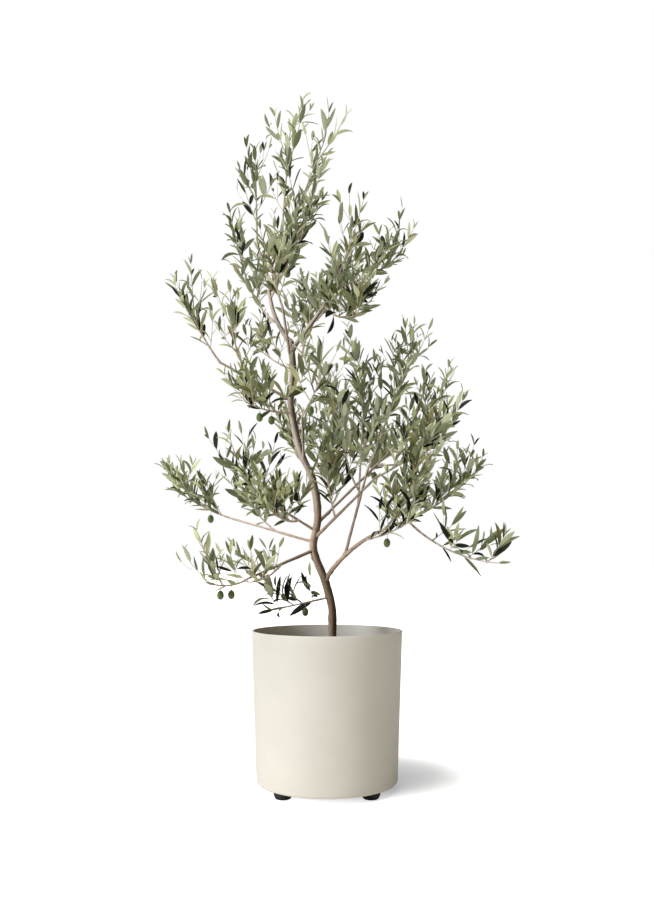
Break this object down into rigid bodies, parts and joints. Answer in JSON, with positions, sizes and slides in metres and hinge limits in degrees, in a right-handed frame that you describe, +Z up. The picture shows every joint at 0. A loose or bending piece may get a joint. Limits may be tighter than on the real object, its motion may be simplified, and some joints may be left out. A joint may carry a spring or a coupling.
{
  "type": "potted olive tree",
  "caption": "Young olive tree with a slender winding trunk, open boughs and narrow grey-green leaves, in a cream cylindrical planter on round feet.",
  "frame": {"origin": "on the floor under the planter's axis, which is within a centimetre of the centre of the whole plant's box", "axes": "+Z up, -Y towards the viewer of the front, +X to the viewer's right"},
  "size_m": [0.8354, 0.603, 1.5284],
  "materials": {
    "pot": "smooth matt cream with a faint mottle",
    "rubber": "matt black",
    "soil": "moist dark crumbly potting mix",
    "bark": "dull grey-brown bark with fine cracks and bumps",
    "foliage": "leathery leaves, grey-green above with a soft gloss and silvery matt beneath"
  },
  "bodies": {
    "root": {"pot": "pot", "foot_1": "rubber", "foot_2": "rubber", "foot_3": "rubber", "foot_4": "rubber", "soil": "soil", "trunk": "bark", "leader_left": "bark", "leader_right": "bark", "leader_left_outer": "bark", "leader_left_inner": "bark", "bough_right_low": "bark", "bough_right_rise": "bark", "bough_right_mid": "bark", "bough_right_rear": "bark", "bough_left_low": "bark", "bough_left_mid": "bark", "bough_left_rise": "bark", "bough_wing": "bark", "bough_rear_low": "bark", "bough_rear_high": "bark", "bough_front_mid": "bark", "bough_front_high": "bark", "foliage_top_spire": "foliage", "foliage_top_right": "foliage", "foliage_top_left": "foliage", "foliage_left_column": "foliage", "foliage_core_high": "foliage", "foliage_wing_far": "foliage", "foliage_wing_near": "foliage", "foliage_olives_left": "foliage", "foliage_left_inner": "foliage", "foliage_left_near": "foliage", "foliage_left_far": "foliage", "foliage_left_rear": "foliage", "foliage_left_lowest": "foliage", "foliage_low_droop": "foliage", "foliage_right_high_near": "foliage", "foliage_right_high_far": "foliage", "foliage_right_high_low": "foliage", "foliage_core_right_high": "foliage", "foliage_right_shoulder": "foliage", "foliage_right_upper": "foliage", "foliage_right_core": "foliage", "foliage_right_mid": "foliage", "foliage_right_tip": "foliage", "foliage_right_near": "foliage", "foliage_right_under": "foliage", "foliage_right_droop": "foliage", "foliage_left_low_near": "foliage", "foliage_right_inner": "foliage", "foliage_right_outer": "foliage", "foliage_rear_low": "foliage", "foliage_rear_mid": "foliage", "foliage_rear_right": "foliage", "foliage_rear_high": "foliage", "foliage_rear_left": "foliage", "foliage_front_mid": "foliage", "foliage_front_high": "foliage", "foliage_front_right": "foliage"}
  },
  "joints": []
}
